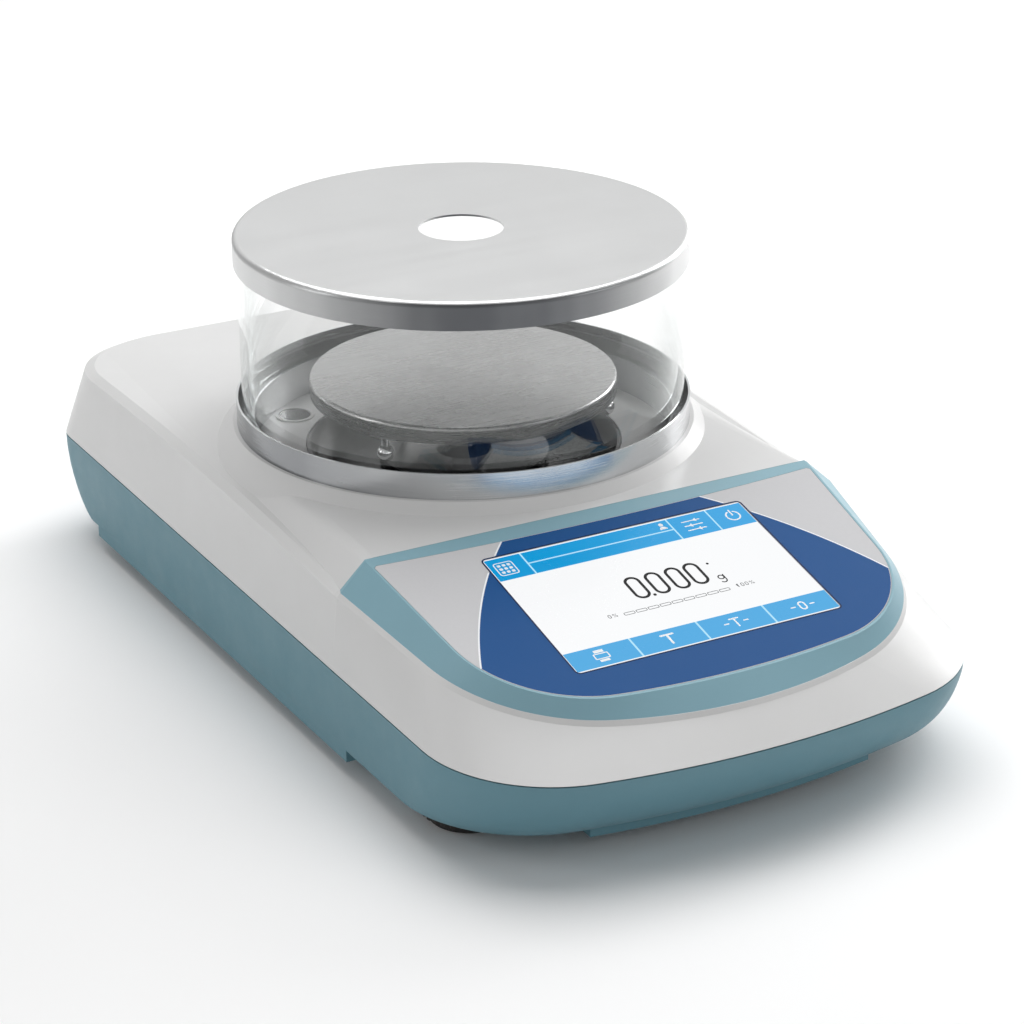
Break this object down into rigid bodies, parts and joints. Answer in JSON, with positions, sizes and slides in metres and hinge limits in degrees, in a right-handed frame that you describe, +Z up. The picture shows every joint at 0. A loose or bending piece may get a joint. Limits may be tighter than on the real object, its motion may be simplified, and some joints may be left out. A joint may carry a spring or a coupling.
{
  "type": "precision laboratory balance",
  "caption": "Top-loading laboratory balance with a tilted touch display, round steel pan, lift-off round glass draft shield with steel lid, and levelling feet.",
  "frame": {"origin": "centre of the footprint on the bench surface under the feet", "axes": "+Z up, -Y towards the user (display side), +X to the user's right"},
  "size_m": [0.215, 0.398, 0.1613],
  "materials": {
    "teal_plastic": "moulded, satin",
    "bezel_plastic": "moulded, satin",
    "white_plastic": "moulded, semi-gloss",
    "label_film": "printed film, fine texture",
    "touch_glass": "clear, bonded",
    "lcd": "lit colour display",
    "circuit_board": "solder mask",
    "black_plastic": "moulded, satin",
    "brushed_steel": "circular and straight brushed",
    "polished_steel": "polished",
    "zinc_screws": "zinc plated",
    "clear_glass": "clear, ground edges",
    "aluminium": "machined",
    "magnet_steel": "nickel plated",
    "copper_coil": "enamelled wire",
    "rubber": "moulded",
    "foot_plastic": "knurled",
    "vial_fluid": "clear with bubble"
  },
  "bodies": {
    "base": {"upper_casing": "white_plastic", "lower_casing": "teal_plastic", "display_bezel": "bezel_plastic", "front_label": "label_film", "touch_glass": "touch_glass", "lcd_module": "lcd", "display_board": "circuit_board", "display_screws": "zinc_screws", "pan_dish": "black_plastic", "level_vial": "vial_fluid", "vial_lens": "clear_glass", "chassis_plate": "aluminium", "chassis_screws": "zinc_screws", "cell_frame": "aluminium", "cell_screws": "zinc_screws", "beam_pivot_pin": "polished_steel", "magnet_pot": "magnet_steel", "main_board": "circuit_board", "board_standoffs": "zinc_screws", "rear_panel": "black_plastic", "serial_port": "polished_steel", "usb_port": "polished_steel", "power_inlet": "black_plastic", "casing_screws": "zinc_screws"},
    "load_carrier": {"load_spigot": "polished_steel"},
    "beam": {"force_beam": "aluminium", "force_coil": "copper_coil"},
    "pan": {"weighing_pan": "brushed_steel", "pan_support": "aluminium", "pan_cushions": "rubber", "ball_studs": "polished_steel"},
    "draft_shield": {"shield_ring": "brushed_steel", "shield_glass": "clear_glass", "glass_seal": "black_plastic"},
    "lid": {"shield_lid": "brushed_steel"},
    "foot_front_left": {"foot_pad_front_left": "rubber"},
    "wheel_front_left": {"foot_wheel_front_left": "foot_plastic"},
    "foot_front_right": {"foot_pad_front_right": "rubber"},
    "wheel_front_right": {"foot_wheel_front_right": "foot_plastic"},
    "foot_rear_left": {"foot_pad_rear_left": "rubber"},
    "wheel_rear_left": {"foot_wheel_rear_left": "foot_plastic"},
    "foot_rear_right": {"foot_pad_rear_right": "rubber"},
    "wheel_rear_right": {"foot_wheel_rear_right": "foot_plastic"}
  },
  "joints": [
    {"name": "load_travel", "type": "slide", "parent": "base", "child": "load_carrier", "axis": [0, 0, 1], "range_m": [-0.0005, 0], "stiffness_N_per_m": 5000, "springref_m": 0.0009},
    {"name": "beam_tilt", "type": "hinge", "parent": "base", "child": "beam", "pos_m": [0, 0.045, 0.044], "axis": [1, 0, 0], "range_deg": [-0.2, 1.8]},
    {"name": "pan_lift", "type": "slide", "parent": "load_carrier", "child": "pan", "axis": [0, 0, 1], "range_m": [0, 0.05]},
    {"name": "shield_lift", "type": "slide", "parent": "base", "child": "draft_shield", "axis": [0, 0, 1], "range_m": [0, 0.1]},
    {"name": "lid_lift", "type": "slide", "parent": "draft_shield", "child": "lid", "axis": [0, 0, 1], "range_m": [0, 0.08]},
    {"name": "foot_front_left_travel", "type": "slide", "parent": "base", "child": "foot_front_left", "axis": [0, 0, 1], "range_m": [-0.006, 0]},
    {"name": "foot_front_left_turn", "type": "hinge", "parent": "foot_front_left", "child": "wheel_front_left", "pos_m": [-0.08, -0.125, 0.005], "axis": [0, 0, 1], "range_deg": [-1726, 0]},
    {"name": "foot_front_right_travel", "type": "slide", "parent": "base", "child": "foot_front_right", "axis": [0, 0, 1], "range_m": [-0.006, 0]},
    {"name": "foot_front_right_turn", "type": "hinge", "parent": "foot_front_right", "child": "wheel_front_right", "pos_m": [0.08, -0.125, 0.005], "axis": [0, 0, 1], "range_deg": [-1726, 0]},
    {"name": "foot_rear_left_travel", "type": "slide", "parent": "base", "child": "foot_rear_left", "axis": [0, 0, 1], "range_m": [-0.006, 0]},
    {"name": "foot_rear_left_turn", "type": "hinge", "parent": "foot_rear_left", "child": "wheel_rear_left", "pos_m": [-0.08, 0.15, 0.005], "axis": [0, 0, 1], "range_deg": [-1726, 0]},
    {"name": "foot_rear_right_travel", "type": "slide", "parent": "base", "child": "foot_rear_right", "axis": [0, 0, 1], "range_m": [-0.006, 0]},
    {"name": "foot_rear_right_turn", "type": "hinge", "parent": "foot_rear_right", "child": "wheel_rear_right", "pos_m": [0.08, 0.15, 0.005], "axis": [0, 0, 1], "range_deg": [-1726, 0]}
  ],
  "couplings": [
    {"joint": "beam_tilt", "follows": "load_travel", "rad_per_m": -55.556},
    {"joint": "foot_front_left_travel", "follows": "foot_front_left_turn", "m_per_rad": 0.00019894},
    {"joint": "foot_front_right_travel", "follows": "foot_front_right_turn", "m_per_rad": 0.00019894},
    {"joint": "foot_rear_left_travel", "follows": "foot_rear_left_turn", "m_per_rad": 0.00019894},
    {"joint": "foot_rear_right_travel", "follows": "foot_rear_right_turn", "m_per_rad": 0.00019894}
  ]
}
